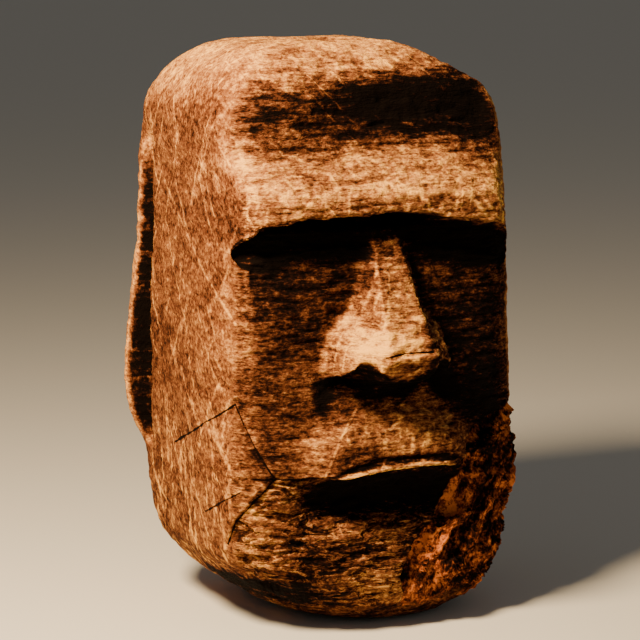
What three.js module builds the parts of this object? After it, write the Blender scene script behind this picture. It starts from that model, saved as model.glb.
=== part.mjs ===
// A moai head in volcanic tuff, carved from one block and standing upright on its flat underside.
// Millimetres, +Z up, the face looks along -Y, and the origin is the middle of the underside's box.
import * as THREE from "three";

// The block's half widths and half depths from its upright axis, as [height, size].
const HEIGHT = 1464;
const HALF_WIDTH = [
  [0, 376], [200, 404], [400, 420], [720, 422], [1020, 412], [1260, 404], [1464, 394],
];
const FRONT_DEPTH = [
  [0, 520], [110, 456], [220, 426], [400, 412], [560, 384], [720, 368], [1020, 362], [1260, 350],
  [1464, 296],
];
const BACK_DEPTH = [[0, 290], [200, 300], [400, 318], [720, 346], [1020, 346], [1464, 340]];
// How square a section is, as a superellipse's power: 2 is an ellipse.
const CORNER_POWER = [[0, 2], [110, 3], [240, 4.6], [400, 5.4], [1260, 5.4], [1464, 4.2]];
// The wall turns under to the flat foot and over to the crown, as [height, share of the section].
const FOOT_EDGE = [[0, 0.56], [20, 0.715], [58, 0.85], [110, 0.95], [176, 1]];
const CROWN_EDGE = [
  [1272, 1], [1312, 0.985], [1360, 0.93], [1404, 0.83], [1438, 0.7], [1456, 0.55], [1463, 0.28],
];
// The foot lies towards the head's left, as the jaw's right corner turns up more. The crown leans right.
const FOOT_SHIFT = { x: 64, top: 220 };
const CROWN_SHIFT = { x: -7, from: 960, to: 1290 };
// The crown's left shoulder slopes off, from this far across and at this slope.
const SHOULDER = { from: 130, slope: 0.5, soft: 14 };

// The face's relief fades out round the block's corners, from this far across to that on each side.
const FACE = { right: [340, 420], left: [296, 400] };

// Forehead and brow: a trough under the crown that deepens towards the head's left, then a shelf with an
// arched lower edge.
const TROUGH = { height: 1272, reach: 84, depth: [20, 52], across: [-300, 60] };
const BROW = {
  edge: 1040, centre: -60, droop: 53, halfWidth: 392, out: 70, top: 1206, full: 1068, lip: 13,
  from: 864, to: 1234,
};

// Sockets: blank slots under the brow with blunt ends, and the cheek coming forward again below them.
const SOCKET = {
  depth: 68, floor: 28, height: 80, sill: 160, sillShare: 0.22, end: 384, round: 12, blunt: 34, middle: 44,
};
const CHEEK = { out: 12, bottom: 520, top: 660, below: 110 };

// Nose: a concave ridge from the brow to a broad tip, and two flared wings over arched nostrils.
// Beyond its foot its own surface lies behind the face, and beyond its ends it is gone.
const NOSE = {
  root: 1004, rootFade: 50, tip: 716, rootOut: 22, tipOut: 174, curve: 1.15,
  ridge: [32, 58], ridgeCurve: 1.4, foot: [80, 164], footCurve: 1.5,
  underside: 634, undercut: 26, lip: 6, tipRound: 44, behind: 30, gone: 80, join: 14,
};
const WING = {
  across: 100, height: 674, radius: 74, below: 0.8, above: 0.6, core: 0.3, rim: 1.35, out: 118,
  drop: 10, join: 90,
};
const NOSTRIL = { across: 112, rise: 46, reach: 48 };

// Mouth: an arched parting, and a lower lip that ends in a straight ledge over a hollow.
const MUZZLE = {
  top: 624, fade: 60, bottom: 464, topOut: 14, out: 54, topHalf: 110, halfWidth: 204, side: 64,
};
const MOUTH = {
  height: 443, centre: 30, droop: 33, halfWidth: 205, groove: 14, gap: 8, fade: [158, 206],
  ledge: 404, rise: 14, from: -170, to: 20, edge: 9,
};
const HOLLOW = { height: 338, reach: 52, depth: 50, inner: 140, outer: 290 };
const CHIN = { height: 170, reach: 100, out: 22, inner: 140, outer: 330 };

// Ears: a long flange on the back half of each side, behind a groove, with a sunken middle.
const EAR = {
  top: 1215, topFade: [60, 30], bottom: 390, bottomFade: [24, 60],
  front: 204, frontFade: 15, back: 296, backFade: [20, 60],
  out: [[390, 8], [485, 38], [575, 52], [655, 46], [825, 26], [1025, 14], [1215, 8]],
  groove: 34, grooveBefore: 22, grooveWidth: 24, bowl: 16, rim: 26, rimSlope: 16, bowlEnd: 150, bowlFade: 60,
};

// The jaw's left corner is rough rock that stands proud of the carved skin, beyond a groove. It fades
// out at its top, at the foot and towards the back.
const ROCK = {
  edge: [[50, 0], [174, 55], [294, 178], [394, 248], [484, 262], [536, 420]],
  proud: 20, wall: 18, groove: 10, grooveWidth: 14, top: 554, topFade: 30, footFade: 100, sideFade: 120,
};

// How much of the relief a point of the block takes: the face's by how far forward it lies and how near
// the wall, and the ears' by how far sideways.
const FRONTAL = { forward: [-0.1, 0.35], share: [0.72, 0.95] };
const LATERAL = { sideways: [0.3, 0.6], share: [0.9, 1] };

// How finely the surface is faceted: columns round the block, and rings up its wall from each height.
const COLUMNS = { front: 48, sideFront: 6, ear: 7, back: 6 };
const EAR_COLUMNS_FROM = 150;
const CORNER_CROWDING = 1.7; // above 1, the columns on a side draw towards the face's corner
const BACK_CROWDING = 0.8; // up to 1, the columns on the back draw towards its corners
const NOSE_CROWDING = -0.35; // below 0, the columns on the face draw towards its middle
const WALL_RINGS = [
  [176, 5], [300, 4], [MOUTH.ledge - 9, 3], [MOUTH.ledge + 13, 3], [MOUTH.height - 9, 3], [460, 5],
  [600, 4], [640, 5], [724, 3], [BROW.from, 5], [998, 5], [1050, 4], [1194, 2],
];
const BENT_FORWARD = [0.2, 0.7]; // rings bend onto the face's lines only where they look this far forward

const clamp01 = (t) => Math.min(1, Math.max(0, t));
const ramp = (x, from, to) => {
  const t = clamp01((x - from) / (to - from));
  return t * t * (3 - 2 * t);
};
const bell = (t) => Math.exp(-t * t);
const mix = (a, b, t) => a + (b - a) * t;
const smoothMax = (a, b, soft) => {
  const h = clamp01(0.5 + (a - b) / (2 * soft));
  return mix(b, a, h) + soft * h * (1 - h);
};

// A smooth curve through [position, value] stations.
function along(stations, x) {
  const last = stations.length - 1;
  const at = Math.min(Math.max(x, stations[0][0]), stations[last][0]);
  let i = 0;
  while (i < last - 1 && at > stations[i + 1][0]) i += 1;
  const slope = (k) => {
    const before = stations[Math.max(0, k - 1)];
    const after = stations[Math.min(last, k + 1)];
    return (after[1] - before[1]) / (after[0] - before[0]);
  };
  const span = stations[i + 1][0] - stations[i][0];
  const t = (at - stations[i][0]) / span;
  const curve = (1 + 2 * t) * (1 - t) ** 2 * stations[i][1] + t * t * (3 - 2 * t) * stations[i + 1][1];
  return curve + span * (t * (1 - t) ** 2 * slope(i) - t * t * (1 - t) * slope(i + 1));
}

// The plain block's outline at a height, in the direction of an angle from the face's midline.
function blockPoint(angle, height, share) {
  const [sin, cos] = [Math.sin(angle), Math.cos(angle)];
  const depth = cos > 0 ? along(FRONT_DEPTH, height) : along(BACK_DEPTH, height);
  const power = along(CORNER_POWER, height);
  const across = Math.abs(sin / along(HALF_WIDTH, height)) ** power;
  const deep = Math.abs(cos / depth) ** power;
  const radius = share / (across + deep) ** (1 / power);
  return [radius * sin, -radius * cos];
}

// The face's lines: the brow's edge and the mouth's parting arch, the lower lip's ledge rises a little to
// the head's left, and the nose's underside arches over each nostril.
const browEdge = (x) => BROW.edge - BROW.droop * ((x - BROW.centre) / BROW.halfWidth) ** 2;
const ledgeLine = (x) => MOUTH.ledge + MOUTH.rise * ramp(x, MOUTH.from, MOUTH.to);
const mouthLine = (x) => {
  const arch = MOUTH.height - MOUTH.droop * (Math.abs(x - MOUTH.centre) / MOUTH.halfWidth) ** 3;
  return Math.max(arch, ledgeLine(x) + MOUTH.edge);
};

const noseLine = (x) => {
  const arch = NOSTRIL.rise * bell((Math.abs(x) - NOSTRIL.across) / NOSTRIL.reach);
  return NOSE.underside + arch - WING.drop * ramp(Math.abs(x), WING.across, NOSE.foot[1]);
};

// Forehead, brow and sockets: how far the face stands out of the block.
function upperFace(x, z) {
  const side = Math.abs(x);
  const below = browEdge(x) - z;
  const inward = 1 - ramp(side, ...(x < 0 ? FACE.right : FACE.left));
  const trough = mix(...TROUGH.depth, ramp(x, ...TROUGH.across));
  const forehead = -trough * bell((z - TROUGH.height) / TROUGH.reach) * inward;
  const brow = BROW.out * ramp(z, BROW.top, BROW.full) * inward;
  const sill = SOCKET.sillShare * (1 - ramp(below, SOCKET.floor, SOCKET.sill));
  const shelf = (1 - SOCKET.sillShare) * (1 - ramp(below, SOCKET.floor, SOCKET.height));
  const end = SOCKET.end - SOCKET.blunt * clamp01((below / SOCKET.middle - 1) ** 2);
  const slot = (shelf + sill) * (1 - ramp(side, end - SOCKET.round, end));
  const cheek = CHEEK.out * ramp(z, CHEEK.bottom, CHEEK.top) * inward;
  const outside = mix(brow, cheek, ramp(below, -BROW.lip, CHEEK.below));
  const sunk = mix(outside, -SOCKET.depth, slot);
  return mix(forehead + brow, sunk, ramp(below, -BROW.lip, BROW.lip));
}

// The nose: ridge, wings and arched nostrils.
function nose(x, z) {
  const side = Math.abs(x);
  const t = clamp01((NOSE.root - z) / (NOSE.root - NOSE.tip));
  const tipRound = NOSE.tipRound * ramp(z, NOSE.tip, NOSE.underside);
  const out = mix(NOSE.rootOut, NOSE.tipOut, t ** NOSE.curve) - tipRound;
  const ridge = mix(...NOSE.ridge, t ** NOSE.ridgeCurve);
  const foot = mix(...NOSE.foot, t ** NOSE.footCurve);
  const body = mix(out, -NOSE.behind, ramp(side, ridge, foot));
  const rise = z - WING.height;
  const reach = Math.hypot(side - WING.across, rise * (rise > 0 ? WING.above : WING.below)) / WING.radius;
  const wing = mix(WING.out, -NOSE.behind, ramp(reach, WING.core, WING.rim));
  const under = noseLine(x);
  const over = 1 - ramp(z, NOSE.root, NOSE.root + NOSE.rootFade);
  const keep = ramp(z, under - NOSE.undercut, under + NOSE.lip) * over;
  return mix(-NOSE.gone, smoothMax(body, wing, WING.join), keep);
}

// Upper lip, parting, lower lip, the hollow under its ledge and the chin.
function lowerFace(x, z) {
  const side = Math.abs(x);
  const down = ramp(z, MUZZLE.top, MUZZLE.bottom);
  const half = mix(MUZZLE.topHalf, MUZZLE.halfWidth, down);
  const across = 1 - ramp(side, half - MUZZLE.side, half + MUZZLE.side);
  const under = ramp(z, MUZZLE.top + MUZZLE.fade, MUZZLE.top);
  const muzzle = mix(MUZZLE.topOut, MUZZLE.out, down) * across * under;
  const parting = MOUTH.groove * bell((z - mouthLine(x)) / MOUTH.gap) * (1 - ramp(side, ...MOUTH.fade));
  const fromLedge = z - ledgeLine(x);
  const underLip = bell((z - HOLLOW.height) / HOLLOW.reach);
  const hollow = HOLLOW.depth * underLip * (1 - ramp(side, HOLLOW.inner, HOLLOW.outer));
  const chin = CHIN.out * bell((z - CHIN.height) / CHIN.reach) * (1 - ramp(side, CHIN.inner, CHIN.outer));
  return mix(muzzle - parting, chin - hollow, ramp(fromLedge, MOUTH.edge, -MOUTH.edge));
}

function faceRelief(x, z) {
  return smoothMax(upperFace(x, z) + lowerFace(x, z), nose(x, z), NOSE.join);
}

// An ear stands out sideways: a flange with a groove before it and a sunken middle.
function earRelief(y, z) {
  const rise = (at, from, fade) => ramp(at, from - fade[0], from + fade[1]);
  const upDown = rise(z, EAR.bottom, EAR.bottomFade) * (1 - rise(z, EAR.top, EAR.topFade));
  const onEar = rise(y, EAR.front, [EAR.frontFade, EAR.frontFade]) * (1 - rise(y, EAR.back, EAR.backFade));
  const groove = EAR.groove * bell((y - EAR.front + EAR.grooveBefore) / EAR.grooveWidth);
  const frontRim = EAR.front + EAR.rim;
  const inside = rise(y, frontRim, [0, EAR.rimSlope]) * (1 - rise(y, EAR.back, [EAR.rim, 0]));
  const bowlFoot = EAR.bottom + EAR.bowlEnd;
  const bowlTop = EAR.top - EAR.bowlEnd;
  const tall = rise(z, bowlFoot, [0, EAR.bowlFade]) * (1 - rise(z, bowlTop, [0, EAR.bowlFade]));
  return upDown * (along(EAR.out, z) * onEar - groove * (1 - onEar) - EAR.bowl * inside * tall);
}

// The rough jaw corner: a groove, a wall and the rock beyond it, fading out down the side.
function rockRelief(x, y, z) {
  const past = x - along(ROCK.edge, z);
  const proud = ROCK.proud * ramp(past, 0, ROCK.wall);
  const groove = ROCK.groove * bell((past + ROCK.grooveWidth) / ROCK.grooveWidth);
  const upDown = ramp(z, 0, ROCK.footFade) * (1 - ramp(z, ROCK.top - ROCK.topFade, ROCK.top));
  return (proud - groove) * upDown * ramp(y, ROCK.sideFade, -ROCK.sideFade);
}

function surfacePoint(angle, height, share) {
  const [x, y] = blockPoint(angle, height, share);
  const frontal = ramp(Math.cos(angle), ...FRONTAL.forward) * ramp(share, ...FRONTAL.share);
  const lateral = ramp(Math.abs(Math.sin(angle)), ...LATERAL.sideways) * ramp(share, ...LATERAL.share);
  const rock = rockRelief(x, y, height) / Math.hypot(x, y);
  const lean = CROWN_SHIFT.x * ramp(height, CROWN_SHIFT.from, CROWN_SHIFT.to);
  const shift = FOOT_SHIFT.x * (1 - ramp(height, 0, FOOT_SHIFT.top)) + lean;
  const across = x * (1 + rock) + Math.sign(x) * lateral * earRelief(y, height) + shift;
  const shoulder = HEIGHT - SHOULDER.slope * (across - SHOULDER.from);
  const level = -smoothMax(-height, -shoulder, SHOULDER.soft);
  return [across, y * (1 + rock) - frontal * faceRelief(x, height), level];
}

// The angles of the columns, from evenly spaced points round the block's plan at the cheeks.
function columnAngles() {
  const half = along(HALF_WIDTH, NOSE.tip);
  const front = along(FRONT_DEPTH, NOSE.tip);
  const back = along(BACK_DEPTH, NOSE.tip);
  const angles = [];
  const walk = (from, to, count, ease = (t) => t) => {
    for (let i = 0; i < count; i += 1) {
      const t = ease(i / count);
      angles.push(Math.atan2(mix(from[0], to[0], t), -mix(from[1], to[1], t)));
    }
  };
  const crowd = (share) => (t) => t - (share * Math.sin(2 * Math.PI * t)) / (2 * Math.PI);
  walk([-half, -front], [half, -front], COLUMNS.front, crowd(NOSE_CROWDING));
  walk([half, -front], [half, EAR_COLUMNS_FROM], COLUMNS.sideFront, (t) => t ** CORNER_CROWDING);
  walk([half, EAR_COLUMNS_FROM], [half, back], COLUMNS.ear);
  walk([half, back], [-half, back], COLUMNS.back, crowd(BACK_CROWDING));
  walk([-half, back], [-half, EAR_COLUMNS_FROM], COLUMNS.ear);
  walk([-half, EAR_COLUMNS_FROM], [-half, -front], COLUMNS.sideFront, (t) => 1 - (1 - t) ** CORNER_CROWDING);
  return angles;
}

// The rings from the underside to the crown, as [height, share of the section].
function ringList() {
  const tops = WALL_RINGS.map(([from]) => from).slice(1).concat(CROWN_EDGE[0][0]);
  const rings = FOOT_EDGE.slice(0, -1);
  WALL_RINGS.forEach(([from, count], i) => {
    for (let k = 0; k < count; k += 1) rings.push([mix(from, tops[i], k / count), 1]);
  });
  return rings.concat(CROWN_EDGE);
}

// Bends level rings onto the face's sloping and arched lines, straight between one line and the next.
function ringHeight(height, angle) {
  const [x] = blockPoint(angle, height, 1);
  const lines = [
    [HOLLOW.height - HOLLOW.reach, HOLLOW.height - HOLLOW.reach],
    [MOUTH.ledge, ledgeLine(x)], [MOUTH.height, mouthLine(x)], [NOSE.underside, noseLine(x)],
    [BROW.from, BROW.from], [BROW.edge, browEdge(x)], [BROW.to, BROW.to],
  ];
  const above = lines.findIndex(([level]) => level > height);
  if (above < 1) return height;
  const [[low, lowLine], [high, highLine]] = [lines[above - 1], lines[above]];
  const bent = mix(lowLine, highLine, (height - low) / (high - low));
  return mix(height, bent, ramp(Math.cos(angle), ...BENT_FORWARD));
}

function headGeometry() {
  const angles = columnAngles();
  const rings = ringList();
  const points = [[FOOT_SHIFT.x, 0, 0]];
  for (const [height, share] of rings) {
    for (const angle of angles) points.push(surfacePoint(angle, ringHeight(height, angle), share));
  }
  points.push([CROWN_SHIFT.x, 0, HEIGHT]);
  const count = angles.length;
  const at = (ring, column) => 1 + ring * count + (column % count);
  const faces = [];
  for (let c = 0; c < count; c += 1) {
    faces.push(0, at(0, c + 1), at(0, c));
    for (let r = 0; r + 1 < rings.length; r += 1) {
      faces.push(at(r, c), at(r, c + 1), at(r + 1, c + 1), at(r, c), at(r + 1, c + 1), at(r + 1, c));
    }
    faces.push(at(rings.length - 1, c), at(rings.length - 1, c + 1), points.length - 1);
  }
  const geometry = new THREE.BufferGeometry();
  geometry.setAttribute("position", new THREE.Float32BufferAttribute(points.flat(), 3));
  geometry.setIndex(faces);
  geometry.computeBoundingBox();
  const middle = geometry.boundingBox.getCenter(new THREE.Vector3());
  geometry.translate(-middle.x, -middle.y, 0);
  geometry.computeVertexNormals();
  return geometry;
}

const tuff = new THREE.MeshStandardMaterial({ color: 0xb08153, roughness: 0.95, metalness: 0 });
const head = new THREE.Mesh(headGeometry(), tuff);
head.name = "moai_head";

const moai = new THREE.Group();
moai.add(head);

export default moai;
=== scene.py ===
import math
import bpy
import numpy as np
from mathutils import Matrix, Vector


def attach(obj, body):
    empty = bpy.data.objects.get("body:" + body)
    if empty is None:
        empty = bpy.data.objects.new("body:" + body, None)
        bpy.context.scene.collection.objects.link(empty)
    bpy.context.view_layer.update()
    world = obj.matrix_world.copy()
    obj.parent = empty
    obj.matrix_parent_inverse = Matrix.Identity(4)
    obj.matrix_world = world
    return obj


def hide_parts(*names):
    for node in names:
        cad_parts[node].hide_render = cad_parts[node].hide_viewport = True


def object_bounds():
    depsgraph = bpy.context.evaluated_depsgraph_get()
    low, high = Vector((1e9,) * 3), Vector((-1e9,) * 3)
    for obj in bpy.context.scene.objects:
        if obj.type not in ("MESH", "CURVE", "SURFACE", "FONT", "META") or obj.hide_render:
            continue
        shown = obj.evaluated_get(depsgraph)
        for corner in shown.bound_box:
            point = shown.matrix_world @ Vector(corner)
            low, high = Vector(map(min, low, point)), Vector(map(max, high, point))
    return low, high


bl_info = {
    "name": "Moai Head",
    "version": (1, 0, 0),
    "blender": (4, 5, 0),
    "location": "3D View > Sidebar > Moai Head",
    "description": "Carves a weathered moai head in volcanic tuff and sets it in a plain studio",
    "category": "Object",
}

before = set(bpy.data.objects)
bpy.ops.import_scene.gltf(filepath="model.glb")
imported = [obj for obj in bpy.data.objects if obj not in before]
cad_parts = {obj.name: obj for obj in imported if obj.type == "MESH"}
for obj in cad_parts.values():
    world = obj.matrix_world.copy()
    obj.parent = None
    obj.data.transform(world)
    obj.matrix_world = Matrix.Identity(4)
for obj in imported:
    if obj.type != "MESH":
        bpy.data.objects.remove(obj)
CAD_BOX = [list(corner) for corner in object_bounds()]
MM = 0.001
FOCAL_LENGTH, FRAME_WIDTH = 2455, 640  # in pixels

# The form, in millimetres: the same named sizes as the solid, as [height, size] from the block's axis.
HEIGHT = 1464
HALF_WIDTH = [(0, 376), (200, 404), (400, 420), (720, 422), (1020, 412), (1260, 404), (1464, 394)]
FRONT_DEPTH = [
    (0, 520), (110, 456), (220, 426), (400, 412), (560, 384), (720, 368), (1020, 362), (1260, 350),
    (1464, 296),
]
BACK_DEPTH = [(0, 290), (200, 300), (400, 318), (720, 346), (1020, 346), (1464, 340)]
CORNER_POWER = [(0, 2), (110, 3), (240, 4.6), (400, 5.4), (1260, 5.4), (1464, 4.2)]
FOOT_EDGE = [(0, 0.56), (20, 0.715), (58, 0.85), (110, 0.95), (176, 1)]
CROWN_EDGE = [(1272, 1), (1312, 0.985), (1360, 0.93), (1404, 0.83), (1438, 0.7), (1456, 0.55), (1463, 0.28)]
FOOT_SHIFT = dict(x=64, top=220)
CROWN_SHIFT = dict(x=-7, low=960, high=1290)
SHOULDER = dict(start=130, slope=0.5, soft=14)
FACE = dict(right=(340, 420), left=(296, 400))
TROUGH = dict(height=1272, reach=84, depth=(20, 52), across=(-300, 60))
BROW = dict(
    edge=1040, centre=-60, droop=53, half_width=392, out=70, top=1206, full=1068, lip=13, low=864, high=1234,
)
SOCKET = dict(
    depth=68, floor=28, height=80, sill=160, sill_share=0.22, end=384, round=12, blunt=34, middle=44,
)
CHEEK = dict(out=12, bottom=520, top=660, below=110)
NOSE = dict(
    root=1004, root_fade=50, tip=716, root_out=22, tip_out=174, curve=1.15, ridge=(32, 58), ridge_curve=1.4,
    foot=(80, 164), foot_curve=1.5, underside=634, undercut=26, lip=6, tip_round=44, behind=30, gone=80,
    join=14,
)
WING = dict(
    across=100, height=674, radius=74, below=0.8, above=0.6, core=0.3, rim=1.35, out=118, drop=10, join=90,
)
NOSTRIL = dict(across=112, rise=46, reach=48)
MUZZLE = dict(top=624, fade=60, bottom=464, top_out=14, out=54, top_half=110, half_width=204, side=64)
MOUTH = dict(
    height=443, centre=30, droop=33, half_width=205, groove=14, gap=8, fade=(158, 206),
    ledge=404, rise=14, low=-170, high=20, edge=9,
)
HOLLOW = dict(height=338, reach=52, depth=50, inner=140, outer=290)
CHIN = dict(height=170, reach=100, out=22, inner=140, outer=330)
EAR = dict(
    top=1215, top_fade=(60, 30), bottom=390, bottom_fade=(24, 60), front=204, front_fade=15, back=296,
    back_fade=(20, 60), groove=34, groove_before=22, groove_width=24, bowl=16, rim=26, rim_slope=16,
    bowl_end=150, bowl_fade=60,
)
EAR_OUT = [(390, 8), (485, 38), (575, 52), (655, 46), (825, 26), (1025, 14), (1215, 8)]
ROCK_EDGE = [(50, 0), (174, 55), (294, 178), (394, 248), (484, 262), (536, 420)]
ROCK = dict(proud=20, wall=18, groove=10, groove_width=14, top=554, top_fade=30, foot_fade=100, side_fade=120)

# Finer forms that only the skin has. The chin's skin has flaked away under the ledge, up to a crack, as
# [height, across]; the lower lip is rounded; the nostrils are hollow; the ears' grooves are ribbed; and the
# brow's edge is chipped in waves of [spacing, height, start].
FLAKE_EDGE = [(0, -392), (234, -390), (292, -384), (321, -373), (361, -345), (404, -308)]
FLAKE = dict(depth=7, rim=(-3, 4), under_ledge=(2, -5), foot=(20, 90))
LIP = dict(out=17, reach=17, low=0.6)
NOSTRIL_HOLLOW = dict(depth=30, below=22, wide=42, tall=24)
EAR_RIBS = dict(spacing=23, depth=6)
CHIPPED = [(41, 3.2, 0.3), (17, 2.2, 1.9), (7.3, 1.2, 4.1)]

# Where growth and painted shade have darkened the stone, and where wear and painted highlights have paled it.
# Four limits stand for a band that fades in between the first two and out between the last two.
FACE_TURN = (0.6, 0.67)
ROCK_COLOUR = (-30, -12)
SMALL_ROCK = 0.36  # of the rough rock's own size
# Painted shade, with dark growth, where shade falls: sockets, trough, round the nose, under the ledge, foot,
# parting.
SOCKET_SHADE_AND_GROWTH = dict(below=(-4, 10, 74, 116), edge=6)
RIDGE_CLEAR = dict(across=(-66, -34, 24, 44), height=(970, 1012))
TROUGH_SHADE_AND_GROWTH = dict(height=1310, reach=96, right=(-120, 130), share=0.35, strength=1.02)
UNDER_NOSE_SHADE_AND_GROWTH = dict(below=(-22, -4, 36, 78), side=(160, 216))
NOSE_SHADE = dict(x=(34, 74), height=(640, 700, 960, 1010), share=0.5)
FOOT_SHADE_AND_GROWTH = dict(height=(110, 160), across=(-396, -368, -262, -206))
LEDGE_SHADE_AND_GROWTH = dict(under=(4, -6), right=(-290, -190))
PARTING_SHADE_AND_GROWTH = 4
# Painted shade with growth in the groove and front wall before each ear, darker between the ribs.
EAR_SHADE_AND_GROWTH = dict(across=(150, 172, 203, 213), height=(390, 450, 1060, 1215), between_ribs=0.8)
# Painted highlight with wear on each ear's outer rim.
EAR_RIM_HIGHLIGHT_AND_WEAR = dict(across=(207, 217, 236, 268), share=0.55)
# Painted highlight with wear on the nose's flank that faces the key light.
NOSE_WEAR_AND_HIGHLIGHT = dict(across=-96, height=702, wide=122, tall=88, lean=0.5, end=(16, 50))
# Stain with painted shade: darker below the brow and towards the face's left, away from the key light.
STAIN_AND_SHADE = dict(
    brow=(-4, 20), far=(60, 200), far_share=0.8, jaw_height=(400, 480), jaw=(-350, -170), jaw_share=0.7,
    chin=(150, 200, 270, 330), chin_share=0.5, edge=(200, 380), edge_share=0.6,
    ridge=(-84, -44, 44, 62), ridge_height=(750, 850), ridge_share=0.8,
    tip=(-50, -10, 64, 84), tip_height=(620, 640, 680, 706), tip_share=0.8,
)
# Painted highlights with wear on the lips, and a pale patch low on the chin.
LIP_WEAR_AND_HIGHLIGHT = dict(reach=14, across=(-214, -150, 130, 190))
MUZZLE_WEAR_AND_HIGHLIGHT = dict(height=(444, 462, 478, 524), across=(-60, 10, 110, 170), share=0.5)
CHIN_PALE_PATCH = dict(height=(26, 60, 130, 190), across=(-190, -110, 150, 260), share=0.6)

# Cracks and scratches, as points in the block's own millimetres. Their distances are measured square to
# a direction out of the face's right corner, which most of them run round.
CORNER_OUT = np.array([math.sin(math.radians(-25)), -math.cos(math.radians(-25)), 0])
ALONG_OUT = 0.95
CRACKS = [
    [(-422, -34, 444), (-418, -226, 530), (-381, -329, 590)],
    [(-305, -396, 409), (-345, -382, 361), (-373, -355, 321), (-384, -331, 292), (-388, -296, 234)],
    [(-305, -396, 409), (-244, -407, 405), (-178, -438, 406)],
    [(-66, -520, 714), (-20, -541, 722), (50, -541, 721)],
]
HAIRLINES = [
    [(-381, -329, 590), (-364, -350, 535), (-340, -374, 471), (-305, -396, 410)],
    [(-412, -207, 300), (-403, -295, 343), (-379, -352, 376)],
]
SCRATCHES = [
    [(-93, -409, 568), (-148, -434, 502), (-192, -441, 413)],
    [(-400, 75, 1103), (-412, -70, 1010), (-411, -205, 905), (-374, -320, 786)],
    [(-418, -226, 590), (-411, -272, 395)],
    [(60, -540, 718), (150, -470, 668), (272, -380, 625)],
]
LIPS_OF_CRACKS = ((CRACKS, 9, 1.0), (HAIRLINES, 7, 0.5))

# Where the face's relief and the ears' take hold: by the direction from the block's axis, and by how near the
# wall a ring of the rounded ends lies.
FRONTAL = dict(turn=(-0.1, 0.35), share=(0.72, 0.95))
LATERAL = dict(turn=(0.3, 0.6), share=(0.9, 1), growth_and_shade=(0.5, 0.8))
CORNER_FACING = (0.28, 0.6)
SEAT_FADE = (2, 40)

# The mesh: how many rings and columns each stretch gets, and how the columns crowd towards the face.
RINGS = dict(foot=22, crown=30, inner=4, bend_turn=(0.2, 0.7))
COLUMNS = dict(side=34, ear=28, back=20, before_ear=60, crowding=1.4, back_crowding=0.8)


def clamp(value, low=0.0, high=1.0):
    return np.minimum(np.maximum(value, low), high)


def ramp(value, start, end):
    t = clamp((value - start) / (end - start))
    return t * t * (3 - 2 * t)


def band(value, limits):
    """1 between the inner two of four limits, fading to 0 at the outer two."""
    return ramp(value, limits[0], limits[1]) * (1 - ramp(value, limits[2], limits[3]))


def bell(t):
    return np.exp(-t * t)


def mix(a, b, t):
    return a + (b - a) * t


def smooth_max(a, b, soft):
    h = clamp(0.5 + (a - b) / (2 * soft))
    return mix(b, a, h) + soft * h * (1 - h)


def along(stations, x):
    """A smooth curve through (position, value) stations."""
    place, value = np.array(stations, float).T
    last = len(place) - 1
    index = np.arange(last + 1)
    before, after = np.maximum(index - 1, 0), np.minimum(index + 1, last)
    slope = (value[after] - value[before]) / (place[after] - place[before])
    x = clamp(x, place[0], place[-1])
    i = np.clip(np.searchsorted(place, x) - 1, 0, last - 1)
    span = place[i + 1] - place[i]
    t = (x - place[i]) / span
    curve = (1 + 2 * t) * (1 - t) ** 2 * value[i] + t * t * (3 - 2 * t) * value[i + 1]
    return curve + span * (t * (1 - t) ** 2 * slope[i] - t * t * (1 - t) * slope[i + 1])


def block_point(angle, height, share):
    """The plain block's outline at a height, in the direction of an angle from the face's midline."""
    sin, cos = np.sin(angle), np.cos(angle)
    depth = np.where(cos > 0, along(FRONT_DEPTH, height), along(BACK_DEPTH, height))
    power = along(CORNER_POWER, height)
    across = np.abs(sin / along(HALF_WIDTH, height)) ** power
    deep = np.abs(cos / depth) ** power
    radius = share / (across + deep) ** (1 / power)
    return radius * sin, -radius * cos


def brow_edge(x):
    return BROW["edge"] - BROW["droop"] * ((x - BROW["centre"]) / BROW["half_width"]) ** 2


def chipped_edge(x):
    """The brow's edge with its small chips."""
    return brow_edge(x) + sum(height * np.sin(x / spacing + start) for spacing, height, start in CHIPPED)


def ledge_line(x):
    return MOUTH["ledge"] + MOUTH["rise"] * ramp(x, MOUTH["low"], MOUTH["high"])


def mouth_line(x):
    arch = MOUTH["height"] - MOUTH["droop"] * (np.abs(x - MOUTH["centre"]) / MOUTH["half_width"]) ** 3
    return np.maximum(arch, ledge_line(x) + MOUTH["edge"])


def nose_line(x):
    side = np.abs(x)
    arch = NOSTRIL["rise"] * bell((side - NOSTRIL["across"]) / NOSTRIL["reach"])
    return NOSE["underside"] + arch - WING["drop"] * ramp(side, WING["across"], NOSE["foot"][1])


def inward_share(x):
    """How far inside the block's front corners a point lies."""
    side = np.abs(x)
    return 1 - np.where(x < 0, ramp(side, *FACE["right"]), ramp(side, *FACE["left"]))


def socket_end(below):
    """How far out the slot under the brow reaches: less near its top and its floor, so that it ends blunt."""
    return SOCKET["end"] - SOCKET["blunt"] * clamp((below / SOCKET["middle"] - 1) ** 2)


def socket_share(x, z):
    """How far a point lies in the slot under the brow."""
    side, below = np.abs(x), chipped_edge(x) - z
    sill = SOCKET["sill_share"] * (1 - ramp(below, SOCKET["floor"], SOCKET["sill"]))
    shelf = (1 - SOCKET["sill_share"]) * (1 - ramp(below, SOCKET["floor"], SOCKET["height"]))
    return (shelf + sill) * (1 - ramp(side, socket_end(below) - SOCKET["round"], socket_end(below)))


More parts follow.
